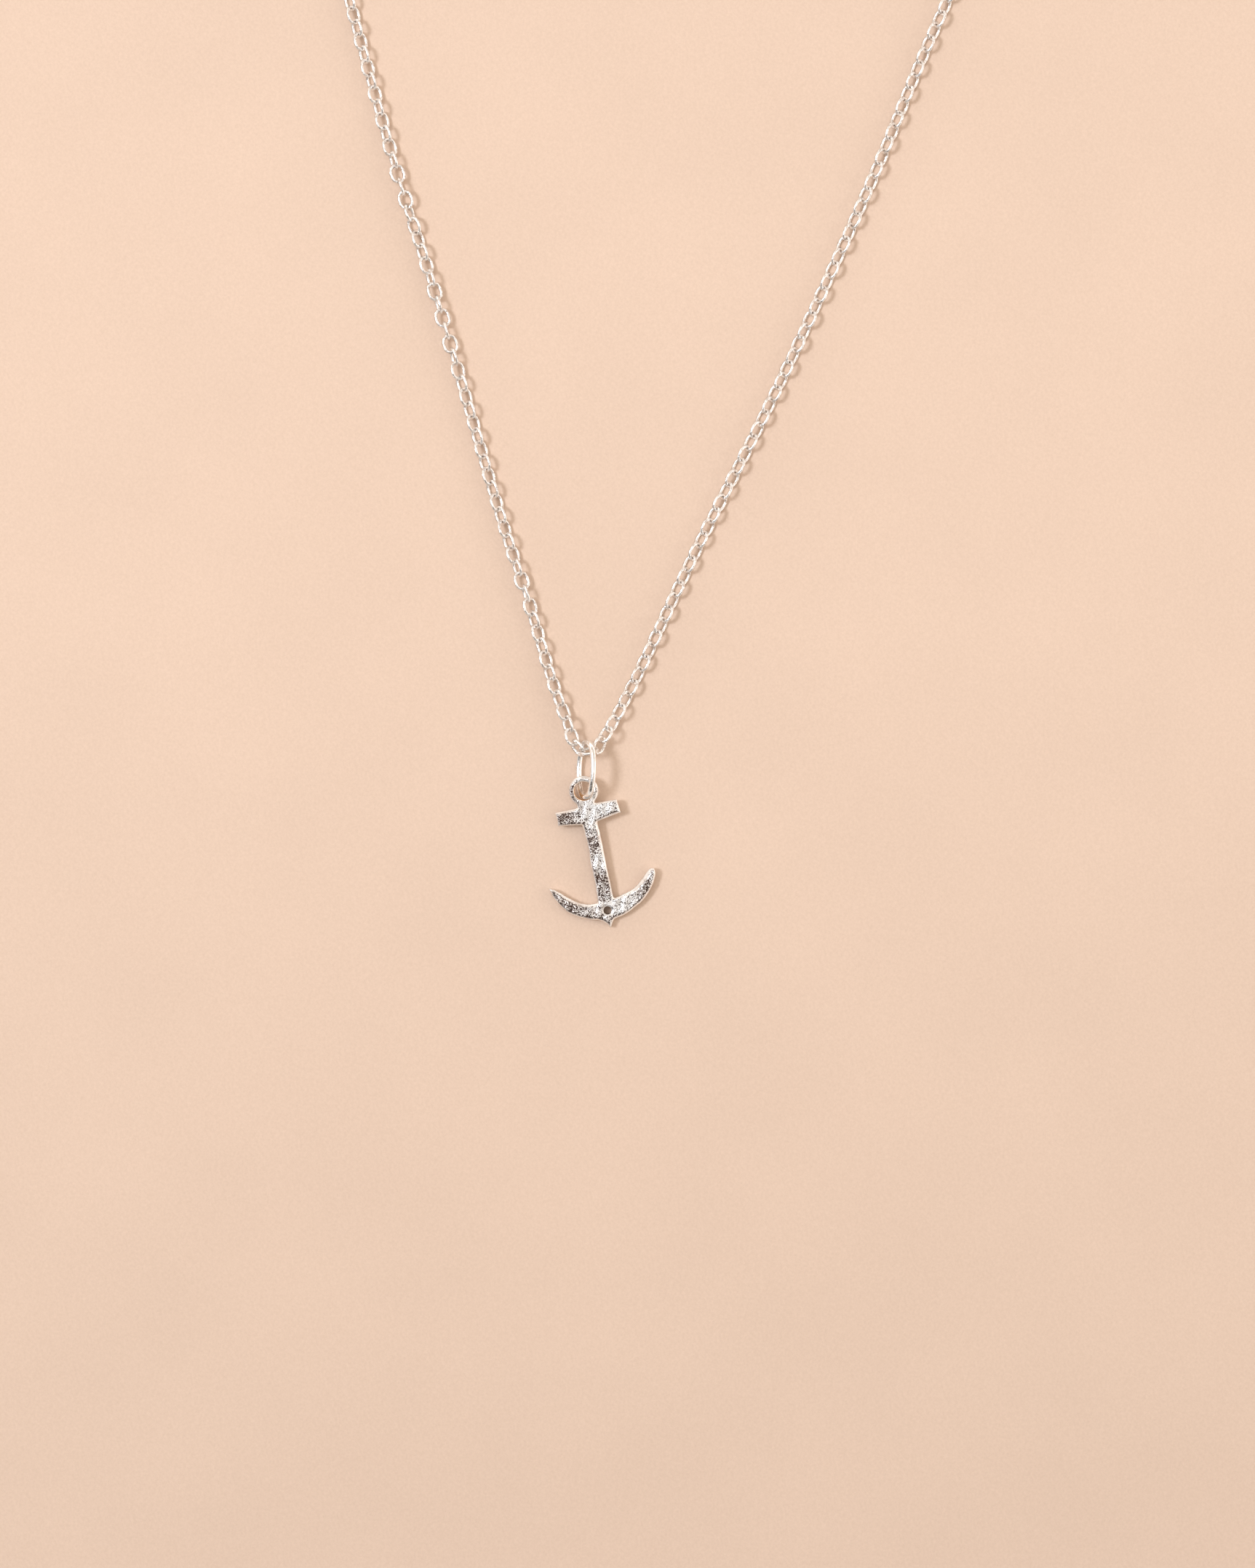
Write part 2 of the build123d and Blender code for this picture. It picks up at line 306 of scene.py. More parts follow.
def add_mesh(name, points, faces, material, attributes=()):
    """Mesh object at the origin from arrays of points in metres and of faces with equal corners."""
    mesh = bpy.data.meshes.new(name)
    mesh.from_pydata(np.asarray(points).reshape(-1, 3), [], np.asarray(faces))
    mesh.polygons.foreach_set("use_smooth", np.ones(len(mesh.polygons), bool))
    for label, values in attributes:
        layer = mesh.attributes.new(label, "FLOAT", "POINT")
        layer.data.foreach_set("value", np.asarray(values, np.float32).ravel())
    mesh.materials.append(material)
    mesh.update()
    piece = bpy.data.objects.new(name, mesh)
    bpy.context.scene.collection.objects.link(piece)
    return piece


def loop_grid_faces(steps, sides):
    """Faces of a grid that closes on itself both along its path and round its section."""
    i, j = np.meshgrid(np.arange(steps), np.arange(sides), indexing="ij")
    i2, j2 = (i + 1) % steps, (j + 1) % sides
    return np.stack([i * sides + j, i2 * sides + j, i2 * sides + j2, i * sides + j2], -1).reshape(-1, 4)


def wire_along(path, outward, wire, sides):
    """Round wire along a closed flat path: each section is the path's point, plus the wire's radius
    times the cosine of the angle outwards and its sine across the path's plane."""
    angle = np.arange(sides) * 2 * np.pi / sides
    across = np.array([0, 0, 1.0])
    section = np.cos(angle)[:, None] * outward[:, None] + np.sin(angle)[:, None] * across
    return path[:, None] + wire / 2 * section


def arc_points(centre, radius, start, end, count):
    """Points and outward directions along an arc of a flat path, ends included."""
    angle = np.linspace(start, end, count)
    outward = np.stack([np.cos(angle), np.sin(angle), np.zeros(count)], -1)
    return np.array([*centre, 0]) + radius * outward, outward


def link_surface(size, arc_steps, sides):
    """One link, its length along X: wire along two half circles joined by short straights."""
    radius = (size.link_width - size.wire) / 2
    half = (size.link_length - size.link_width) / 2
    right = arc_points((half, 0), radius, -np.pi / 2, np.pi / 2, arc_steps + 1)
    left = arc_points((-half, 0), radius, np.pi / 2, 3 * np.pi / 2, arc_steps + 1)
    path, outward = (np.concatenate(parts) for parts in zip(right, left))
    return wire_along(path, outward, size.wire, sides)


def oval_surface(length, width, end_radius, wire, steps, sides):
    """Wire along an oval of four tangent arcs, its length along X. All sizes but the wire's are of
    the wire's middle."""
    a, b = length / 2, width / 2
    run = a - end_radius
    side_radius = (run**2 + b**2 - end_radius**2) / (2 * (b - end_radius))
    turn = math.atan2(run, side_radius - b)
    quarter = math.pi / 2
    arcs = [
        arc_points((run, 0), end_radius, turn - quarter, quarter - turn, steps),
        arc_points((0, b - side_radius), side_radius, quarter - turn, quarter + turn, steps),
        arc_points((-run, 0), end_radius, quarter + turn, 3 * quarter - turn, steps),
        arc_points((0, side_radius - b), side_radius, 3 * quarter - turn, 3 * quarter + turn, steps),
    ]
    path = np.concatenate([p[:-1] for p, _ in arcs])
    outward = np.concatenate([o[:-1] for _, o in arcs])
    return wire_along(path, outward, wire, sides)


def soft_spot(corners, x, y, reach):
    """One at the spot's middle, fading as a bell curve of the distance over its reach."""
    return np.exp(-((corners[:, 0] - x) ** 2 + (corners[:, 1] - y) ** 2) / reach**2)


def node_points(name):
    """Corners of a CAD node's mesh, in metres."""
    mesh = FRAME["nodes"][name].data
    points = np.empty(len(mesh.vertices) * 3, np.float32)
    mesh.vertices.foreach_get("co", points)
    return points.reshape(-1, 3).astype(float)


def lie_of(points):
    """Middle and axes of each solid in an array of point sets: the longest axis first, then the
    middle one, then the shortest, from the spread of the points."""
    middle = points.mean(-2)
    offset = points - middle[..., None, :]
    spread = np.einsum("...pi,...pj->...ij", offset, offset)
    axes = np.linalg.eigh(spread)[1][..., ::-1]
    axes[..., 2] = np.cross(axes[..., 0], axes[..., 1])
    return middle, axes


# Finishes


def new_group(name, inputs, outputs):
    """Shader node group with its named sockets, and its input and output nodes."""
    group = bpy.data.node_groups.new(name, "ShaderNodeTree")
    for label, kind, default in inputs:
        socket = group.interface.new_socket(label, in_out="INPUT", socket_type=kind)
        if default is not None:
            socket.default_value = default
    for label, kind in outputs:
        group.interface.new_socket(label, in_out="OUTPUT", socket_type=kind)
    return group, group.nodes.new("NodeGroupInput"), group.nodes.new("NodeGroupOutput")


def add_node(tree, kind, place, settings=None, **values):
    """Adds a node, sets its own properties, and sets or links the sockets that are named."""
    node = tree.nodes.new(kind)
    node.location = place
    for key, value in (settings or {}).items():
        setattr(node, key, value)
    for label, value in values.items():
        socket = node.inputs[int(label[1:])] if label[1:].isdigit() else node.inputs[label.replace("_", " ")]
        if isinstance(value, bpy.types.NodeSocket):
            tree.links.new(value, socket)
        else:
            socket.default_value = value
    return node


def wear_group():
    """Uneven polish: a soft blotch of handling, and finer drawn marks that make it rougher."""
    group, given, out = new_group(
        "Uneven polish",
        [("Vector", "NodeSocketVector", None), ("Blotch Scale", "NodeSocketFloat", 900.0),
         ("Mark Scale", "NodeSocketFloat", 6000.0), ("Smoothest", "NodeSocketFloat", 0.08),
         ("Roughest", "NodeSocketFloat", 0.25)],
        [("Roughness", "NodeSocketFloat"), ("Blotch", "NodeSocketFloat"), ("Height", "NodeSocketFloat")],
    )
    blotch = add_node(group, "ShaderNodeTexNoise", (-500, 200), Vector=given.outputs["Vector"],
                      Scale=given.outputs["Blotch Scale"], Detail=2.0)
    marks = add_node(group, "ShaderNodeTexNoise", (-500, -100), Vector=given.outputs["Vector"],
                     Scale=given.outputs["Mark Scale"], Detail=3.0, Roughness=0.6)
    mixed = add_node(group, "ShaderNodeMath", (-250, 50), {"operation": "MULTIPLY"},
                     _0=blotch.outputs["Fac"], _1=marks.outputs["Fac"])
    rough = add_node(group, "ShaderNodeMapRange", (0, 50), Value=mixed.outputs[0], From_Min=0.12,
                     From_Max=0.42, To_Min=given.outputs["Smoothest"], To_Max=given.outputs["Roughest"])
    worn = add_node(group, "ShaderNodeMapRange", (0, 300), Value=blotch.outputs["Fac"], From_Min=0.47,
                    From_Max=0.66)
    group.links.new(rough.outputs[0], out.inputs["Roughness"])
    group.links.new(worn.outputs[0], out.inputs["Blotch"])
    group.links.new(marks.outputs["Fac"], out.inputs["Height"])
    return group


def grain_group():
    """Grain of a blasted casting: crumbs of several sizes with rounded pits between them. Height is
    for a bump. Pits marks the dark bottoms, and there are more of them where Cover is high."""
    group, given, out = new_group(
        "Cast grain",
        [("Vector", "NodeSocketVector", None), ("Grain Scale", "NodeSocketFloat", 5400.0),
         ("Amount", "NodeSocketFloat", 1.0), ("Cover", "NodeSocketFloat", 0.5)],
        [("Height", "NodeSocketFloat"), ("Pits", "NodeSocketFloat")],
    )
    crumbs = add_node(group, "ShaderNodeTexNoise", (-700, 200), Vector=given.outputs["Vector"],
                      Scale=given.outputs["Grain Scale"], Detail=3.0, Roughness=0.65)
    cells = add_node(group, "ShaderNodeTexVoronoi", (-700, -100), {"feature": "SMOOTH_F1"},
                     Vector=given.outputs["Vector"], Scale=given.outputs["Grain Scale"], Smoothness=0.6)
    coarser = add_node(group, "ShaderNodeMath", (-900, -300), {"operation": "MULTIPLY"},
                       _0=given.outputs["Grain Scale"], _1=0.42)
    mottle = add_node(group, "ShaderNodeTexNoise", (-700, -350), Vector=given.outputs["Vector"],
                      Scale=coarser.outputs[0], Detail=2.0, Roughness=0.6)
    clumps = add_node(group, "ShaderNodeMath", (-550, -350), {"operation": "MULTIPLY_ADD"},
                      _0=mottle.outputs["Fac"], _1=1.1, _2=-0.55)
    fine = add_node(group, "ShaderNodeMath", (-550, 50), {"operation": "ADD"},
                    _0=cells.outputs["Distance"], _1=crumbs.outputs["Fac"])
    both = add_node(group, "ShaderNodeMath", (-450, 50), {"operation": "ADD"}, _0=fine.outputs[0],
                    _1=clumps.outputs[0])
    held = add_node(group, "ShaderNodeMath", (-100, 150), {"operation": "MULTIPLY"},
                    _0=both.outputs[0], _1=given.outputs["Amount"])
    level = add_node(group, "ShaderNodeMath", (-450, -200), {"operation": "MULTIPLY_ADD"},
                     _0=given.outputs["Cover"], _1=0.24, _2=0.92)
    below = add_node(group, "ShaderNodeMath", (-250, -100), {"operation": "SUBTRACT"},
                     _0=level.outputs[0], _1=both.outputs[0])
    pits = add_node(group, "ShaderNodeMapRange", (-100, -100), Value=below.outputs[0], From_Min=0.0,
                    From_Max=0.20, To_Min=0.0, To_Max=1.0)
    shown = add_node(group, "ShaderNodeMath", (100, -100), {"operation": "MULTIPLY"},
                     _0=pits.outputs[0], _1=given.outputs["Amount"])
    group.links.new(held.outputs[0], out.inputs["Height"])
    group.links.new(shown.outputs[0], out.inputs["Pits"])
    return group


def start_material(name):
    """Metal material, its node tree, its shader and the socket of Object coordinates."""
    material = bpy.data.materials.new(name)
    material.use_nodes = True
    tree = material.node_tree
    surface = tree.nodes["Principled BSDF"]
    surface.inputs["Metallic"].default_value = 1.0
    place = add_node(tree, "ShaderNodeTexCoord", (-1200, 0))
    return material, tree, surface, place.outputs["Object"]


def polished_silver(name, wear, clean, worn, marks, blotches, smoothest, roughest, bump):
    """Bright silver wire, duller in blotches where it has been handled."""
    material, tree, surface, place = start_material(name)
    polish = add_node(tree, "ShaderNodeGroup", (-900, 0), {"node_tree": wear}, Vector=place,
                      Blotch_Scale=blotches, Mark_Scale=marks, Smoothest=smoothest, Roughest=roughest)
    tint = add_node(tree, "ShaderNodeMix", (-500, 200), {"data_type": "RGBA"}, _0=polish.outputs["Blotch"],
                    _6=(*clean, 1), _7=(*worn, 1))
    relief = add_node(tree, "ShaderNodeBump", (-500, -200), Strength=bump, Distance=0.00005,
                      Height=polish.outputs["Height"])
    tree.links.new(tint.outputs[2], surface.inputs["Base Color"])
    tree.links.new(polish.outputs["Roughness"], surface.inputs["Roughness"])
    tree.links.new(relief.outputs[0], surface.inputs["Normal"])
    return material


def cast_silver(wear, grain, look):
    """Blasted silver with grain on its faces, rubbed bright and smooth along its rims."""
    material, tree, surface, place = start_material("Cast silver")
    rubbed = add_node(tree, "ShaderNodeAttribute", (-1200, -300), {"attribute_name": "rubbed"})
    unrubbed = add_node(tree, "ShaderNodeMath", (-1000, -300), {"operation": "SUBTRACT"}, _0=1.0,
                        _1=rubbed.outputs["Fac"])
    # Duller faces with painted shade and painted highlight: the mask's darker patches, brighter spots and
    # dark rim line add pits and darken the tint
    dull_and_shade = add_node(tree, "ShaderNodeAttribute", (-1200, -600), {"attribute_name": "dull_and_shade"})
    patches = add_node(tree, "ShaderNodeTexNoise", (-1200, -800), Vector=place, Scale=1500.0, Detail=3.0)
    uneven = add_node(tree, "ShaderNodeMath", (-1000, -700), {"operation": "MULTIPLY"},
                      _0=dull_and_shade.outputs["Fac"], _1=patches.outputs["Fac"])
    cover = add_node(tree, "ShaderNodeMapRange", (-800, -600), Value=uneven.outputs[0], From_Min=0.05,
                     From_Max=0.50, To_Min=0.0, To_Max=1.2)
    polish = add_node(tree, "ShaderNodeGroup", (-800, 200), {"node_tree": wear}, Vector=place,
                      Blotch_Scale=700.0, Mark_Scale=5000.0, Smoothest=0.28, Roughest=0.42)
    crumb = add_node(tree, "ShaderNodeGroup", (-800, -200), {"node_tree": grain}, Vector=place,
                     Grain_Scale=look.grain, Amount=unrubbed.outputs[0], Cover=cover.outputs[0])
    bright = add_node(tree, "ShaderNodeMix", (-650, 300), {"data_type": "RGBA"}, _0=polish.outputs["Blotch"],
                      _6=(*look.silver, 1), _7=(*look.handled, 1))
    tint = add_node(tree, "ShaderNodeMix", (-500, 300), {"data_type": "RGBA", "blend_type": "MULTIPLY"},
                    _0=cover.outputs[0], _6=bright.outputs[2], _7=(*look.dulled, 1))
    # Painted shade: the grain's pits are near black, for the shade and dark reflections in them
    shade = add_node(tree, "ShaderNodeMix", (-300, 300), {"data_type": "RGBA"}, _0=crumb.outputs["Pits"],
                     _6=tint.outputs[2], _7=(*look.pits, 1))
    relief = add_node(tree, "ShaderNodeBump", (-500, -200), Strength=1.0, Distance=look.grain_depth,
                      Height=crumb.outputs["Height"])
    # Painted reflection: the amber of the eye's wall mixed into the colour
    shaded = add_node(tree, "ShaderNodeAttribute", (-500, 500), {"attribute_name": "shaded"})
    amber = add_node(tree, "ShaderNodeMix", (-250, 400), {"data_type": "RGBA"}, _0=shaded.outputs["Fac"],
                     _6=shade.outputs[2], _7=(*look.shaded, 1))
    # Painted shade: the crown hole's walls mixed to near black
    bore = add_node(tree, "ShaderNodeAttribute", (-500, 700), {"attribute_name": "bore"})
    with_hole_shade = add_node(tree, "ShaderNodeMix", (-100, 400), {"data_type": "RGBA"}, _0=bore.outputs["Fac"],
                         _6=amber.outputs[2], _7=(*look.hole_shade, 1))
    tree.links.new(with_hole_shade.outputs[2], surface.inputs["Base Color"])
    tree.links.new(polish.outputs["Roughness"], surface.inputs["Roughness"])
    tree.links.new(relief.outputs[0], surface.inputs["Normal"])
    return material


def pale_paper(stage):
    """Smooth peach paper with a faint tooth and faint clouds, and a painted light falloff that makes it
    darker towards the bottom.
    """
    material, tree, surface, place = start_material("Pale paper")
    surface.inputs["Metallic"].default_value = 0.0
    surface.inputs["Roughness"].default_value = 0.85
    surface.inputs["Specular IOR Level"].default_value = 0.25
    turned = add_node(tree, "ShaderNodeMapping", (-1050, 0), Vector=place, Rotation=(0.5, 0.35, 0.8))
    tooth = add_node(tree, "ShaderNodeTexNoise", (-900, 0), Vector=turned.outputs[0], Scale=3000.0,
                     Detail=4.0, Roughness=0.75)
    r, g, b = stage.paper
    fibre = add_node(tree, "ShaderNodeMapRange", (-700, 200), Value=tooth.outputs["Fac"], From_Min=0.3,
                     From_Max=0.7)
    tint = add_node(tree, "ShaderNodeMix", (-500, 200), {"data_type": "RGBA"}, _0=fibre.outputs[0],
                    _6=(r * 0.95, g * 0.94, b * 0.93, 1), _7=(r * 1.05, g * 1.06, b * 1.07, 1))
    relief = add_node(tree, "ShaderNodeBump", (-500, -200), Strength=0.5, Distance=0.00003,
                      Height=tooth.outputs["Fac"])
    # Painted light falloff: the paper is lighter towards the top and darker towards the bottom
    along = add_node(tree, "ShaderNodeSeparateXYZ", (-900, 400), Vector=place)
    painted_falloff = add_node(tree, "ShaderNodeMapRange", (-700, 400), {"interpolation_type": "SMOOTHSTEP"},
                    Value=along.outputs["Y"], From_Min=-0.25, From_Max=0.0, To_Min=0.846, To_Max=1.008)
    cloud = add_node(tree, "ShaderNodeTexNoise", (-900, 600), Vector=place, Scale=45.0, Detail=2.0)
    faint = add_node(tree, "ShaderNodeMapRange", (-700, 600), Value=cloud.outputs["Fac"], From_Min=0.3,
                     From_Max=0.7, To_Min=0.985, To_Max=1.015)
    tone = add_node(tree, "ShaderNodeMath", (-500, 500), {"operation": "MULTIPLY"}, _0=painted_falloff.outputs[0],
                    _1=faint.outputs[0])
    # Paper colour with its clouds and the painted light falloff
    shaded = add_node(tree, "ShaderNodeVectorMath", (-250, 350), {"operation": "SCALE"}, _0=tint.outputs[2],
                     Scale=tone.outputs[0])
    tree.links.new(shaded.outputs[0], surface.inputs["Base Color"])
    tree.links.new(relief.outputs[0], surface.inputs["Normal"])
    return material


def shared(name, make, *given):
    """The finish or group of this name, made on its first use."""
    found = bpy.data.materials.get(name) or bpy.data.node_groups.get(name)
    return found or make(*given)


def wire_silver(look):
    """Finish of the jump ring and the clasp."""
    wear = shared("Uneven polish", wear_group)
    return shared("Polished silver", polished_silver, "Polished silver", wear, look.silver, look.handled,
                  4200.0, 900.0, 0.13, 0.34, 0.5)


def chain_silver(look):
    """Finish of the links, with finer and darker marks."""
    wear = shared("Uneven polish", wear_group)
    return shared("Drawn silver", polished_silver, "Drawn silver", wear, look.silver, look.marked,
                  5200.0, 2700.0, 0.16, 0.34, 1.2)


# Sizes and colours that a user would change


class ChainSizes(bpy.types.PropertyGroup):
    wire: bpy.props.FloatProperty(
        name="Wire", description="Thickness of the links' wire",
        default=0.44 * MM, unit="LENGTH", precision=5)
    link_length: bpy.props.FloatProperty(
        name="Link length", description="Length of a link over its wire",
        default=2.67 * MM, unit="LENGTH", precision=5)
    link_width: bpy.props.FloatProperty(
        name="Link width", description="Width of a link over its wire",
        default=2.07 * MM, unit="LENGTH", precision=5)
    links: bpy.props.IntProperty(
        name="Links", description="Links in the closed chain",
        default=228, min=3)


class RingSizes(bpy.types.PropertyGroup):
    wire: bpy.props.FloatProperty(
        name="Ring wire", description="Thickness of the jump ring's wire",
        default=0.8 * MM, unit="LENGTH", precision=5)
    length: bpy.props.FloatProperty(
        name="Ring length", description="Length of the oval at its wire's middle",
        default=6.87 * MM, unit="LENGTH", precision=5)
    width: bpy.props.FloatProperty(
        name="Ring width", description="Width of the oval at its wire's middle",
        default=4.26 * MM, unit="LENGTH", precision=5)
    end_radius: bpy.props.FloatProperty(
        name="Ring end radius", description="Radius of the oval's ends",
        default=1.85 * MM, unit="LENGTH", precision=5)
    clasp_outer: bpy.props.FloatProperty(
        name="Clasp", description="Diameter of the clasp's ring",
        default=5.5 * MM, unit="LENGTH", precision=5)
    clasp_wire: bpy.props.FloatProperty(
        name="Clasp wire", description="Thickness of the clasp's ring",
        default=0.9 * MM, unit="LENGTH", precision=5)
    clasp_eye: bpy.props.FloatProperty(
        name="Clasp eye", description="Diameter of the clasp's eye",
        default=2.3 * MM, unit="LENGTH", precision=5)
    clasp_eye_wire: bpy.props.FloatProperty(
        name="Clasp eye wire", description="Thickness of the clasp's eye",
        default=0.6 * MM, unit="LENGTH", precision=5)


class AnchorSizes(bpy.types.PropertyGroup):
    thickness: bpy.props.FloatProperty(
        name="Plate", description="Thickness of the anchor",
        default=1.2 * MM, unit="LENGTH", precision=5)
    eye_outer: bpy.props.FloatProperty(
        name="Eye", description="Diameter of the anchor's eye",
        default=3.8 * MM, unit="LENGTH", precision=5)
    eye_hole: bpy.props.FloatProperty(
        name="Eye hole", description="Diameter of the hole in the eye",
        default=2.25 * MM, unit="LENGTH", precision=5)
    crown_hole: bpy.props.FloatProperty(
        name="Crown hole", description="Diameter of the hole in the crown",
        default=1.05 * MM, unit="LENGTH", precision=5)
    rim: bpy.props.FloatProperty(
        name="Rim", description="Width of the rubbed rim",
        default=0.24 * MM, unit="LENGTH", precision=5)
    turn: bpy.props.FloatProperty(
        name="Turn", description="Turn of the anchor on the surface",
        default=math.radians(11.3), subtype="ANGLE")
    mesh_step: bpy.props.FloatProperty(
        name="Mesh step", description="Size of the faces' squares",
        default=0.065 * MM, unit="LENGTH", precision=5)


class SilverLook(bpy.types.PropertyGroup):
    silver: bpy.props.FloatVectorProperty(
        name="Silver", description="Colour of clean silver",
        subtype="COLOR", default=(0.965, 0.96, 0.95), min=0, max=1)
    handled: bpy.props.FloatVectorProperty(
        name="Handled", description="Colour of silver dulled by handling",
        subtype="COLOR", default=(0.84, 0.81, 0.78), min=0, max=1)
    marked: bpy.props.FloatVectorProperty(
        name="Marked", description="Colour of the dark marks on the chain's wire",
        subtype="COLOR", default=(0.70, 0.63, 0.58), min=0, max=1)
    # Dulled tints the duller faces, their painted shade patches included
    dulled: bpy.props.FloatVectorProperty(
        name="Dulled", description="Tint of the dullest cast faces",
        subtype="COLOR", default=(0.90, 0.85, 0.82), min=0, max=1)
    # Pits is painted shade: near-black colour at the bottom of the grain
    pits: bpy.props.FloatVectorProperty(
        name="Pits", description="Colour at the bottom of the cast grain",
        subtype="COLOR", default=(0.075, 0.045, 0.036), min=0, max=1)
    # Painted reflection: the amber that the eye's wall shows of the shaded paper
    shaded: bpy.props.FloatVectorProperty(
        name="Toned", description="Colour of the toned wall inside the eye",
        subtype="COLOR", default=(0.80, 0.49, 0.24), min=0, max=1)
    # Painted shade: near-black colour of the crown hole's walls
    hole_shade: bpy.props.FloatVectorProperty(
        name="Tarnish", description="Colour inside the small hole",
        subtype="COLOR", default=(0.035, 0.010, 0.006), min=0, max=1)
    grain: bpy.props.FloatProperty(
        name="Grain", description="Grains in a metre of the cast face",
        default=7200.0)
    grain_depth: bpy.props.FloatProperty(
        name="Grain depth", description="Height of the cast grain",
        default=0.022 * MM, unit="LENGTH", precision=6)


class StageLook(bpy.types.PropertyGroup):
    paper: bpy.props.FloatVectorProperty(
        name="Paper", description="Colour of the paper",
        subtype="COLOR", default=(0.775, 0.592, 0.463), min=0, max=1)
    key: bpy.props.FloatProperty(
        name="Key light", description="Power of the light on the left",
        default=10.0, unit="POWER")
    fill: bpy.props.FloatProperty(
        name="Fill light", description="Power of the light on the right",
        default=0.7, unit="POWER")
    skylight: bpy.props.FloatProperty(
        name="Skylight", description="Brightness of the skylight",
        default=1.25)
    walls: bpy.props.FloatProperty(
        name="Walls", description="Brightness of the pale lower walls",
        default=0.8)
    upper_walls: bpy.props.FloatProperty(
        name="Upper walls", description="Brightness of the dimmer upper walls",
        default=0.71)
    view_height: bpy.props.FloatProperty(
        name="View height", description="Height of the camera over the paper",
        default=0.8, unit="LENGTH")
    view_length: bpy.props.FloatProperty(
        name="View length", description="Length of paper that the camera sees",
        default=0.2, unit="LENGTH")


# Pieces, one operator each


def replace_node(piece, node):
    """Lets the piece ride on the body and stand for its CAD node."""
    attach(piece, BODY)
    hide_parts(node)


class NECKLACE_OT_chain(bpy.types.Operator):
    """Makes the links of the cable chain, each where its solid lies"""

    bl_idname = "necklace.chain"
    bl_label = "Chain"

    def execute(self, context):
        size = context.scene.necklace_chain
        middle, axes = lie_of(node_points("chain").reshape(size.links, -1, 3))
        surface = link_surface(size, 5, 6)
        steps, sides = surface.shape[:2]
        points = middle[:, None, None] + np.einsum("lij,abj->labi", axes, surface)
        faces = loop_grid_faces(steps, sides)
        first = np.arange(size.links)[:, None, None] * steps * sides
        finish = chain_silver(context.scene.necklace_silver)
        piece = add_mesh("chain_links", points, (faces + first).reshape(-1, 4), finish)
        replace_node(piece, "chain")
        return {"FINISHED"}


class NECKLACE_OT_jump_ring(bpy.types.Operator):
    """Makes the oval jump ring through the anchor's eye"""

    bl_idname = "necklace.jump_ring"
    bl_label = "Jump ring"

    def execute(self, context):
        size = context.scene.necklace_rings
        middle, axes = lie_of(node_points("jump_ring"))
        surface = oval_surface(size.length, size.width, size.end_radius, size.wire, 33, 32)
        points = middle + surface @ axes.T
        finish = wire_silver(context.scene.necklace_silver)
        piece = add_mesh("oval_ring", points, loop_grid_faces(*surface.shape[:2]), finish)
        replace_node(piece, "jump_ring")
        return {"FINISHED"}


class NECKLACE_OT_clasp(bpy.types.Operator):
    """Makes the plain clasp: a ring, its small eye, and the solder between them"""

    bl_idname = "necklace.clasp"
    bl_label = "Clasp"

    def execute(self, context):
        size = context.scene.necklace_rings
        low, high = (np.array(v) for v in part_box("clasp"))
        middle = (low + high) / 2
        middle[0] = low[0] + size.clasp_outer / 2
        turn = math.radians(CLASP_TURN)
        axis = np.array([math.cos(turn), math.sin(turn), 0])
        steps, sides = 96, 24
        angle = np.arange(steps) * 2 * np.pi / steps
        outward = np.stack([np.cos(angle), np.sin(angle), np.zeros(steps)], -1)
        arc = (size.clasp_outer - size.clasp_wire) / 2
        eye_arc = (size.clasp_eye - size.clasp_eye_wire) / 2
        reach = arc + size.clasp_wire / 2 + eye_arc
        ring = middle + wire_along(arc * outward, outward, size.clasp_wire, sides)
        eye = middle + reach * axis + wire_along(eye_arc * outward, outward, size.clasp_eye_wire, sides)
        # Solder: a wire of varying radius, swollen at its middle, across the place where they touch
        across = np.array([-axis[1], axis[0], 0])
        bead_arc = np.linspace(-1, 1, steps)
        swell = np.sqrt(np.clip(1 - bead_arc**2, 0, 1))
        spin = np.arange(sides) * 2 * np.pi / sides
        section = np.cos(spin)[:, None] * axis * SOLDER_WIDTH * MM
        section = section + np.sin(spin)[:, None] * np.array([0, 0, SOLDER_HEIGHT * MM])
        bead = middle + (reach - eye_arc - SOLDER_OVERLAP * MM) * axis
        bead = bead + bead_arc[:, None, None] * across * SOLDER_LENGTH * MM
        bead = bead + swell[:, None, None] * section
        faces = loop_grid_faces(steps, sides)
        bead_faces = faces[:(steps - 1) * sides]
        points = np.concatenate([part.reshape(-1, 3) for part in (ring, eye, bead)])
        count = steps * sides
        faces = np.concatenate([faces, faces + count, bead_faces[:, ::-1] + 2 * count])
        piece = add_mesh("clasp_ring", points, faces, wire_silver(context.scene.necklace_silver))
        replace_node(piece, "clasp")
        return {"FINISHED"}


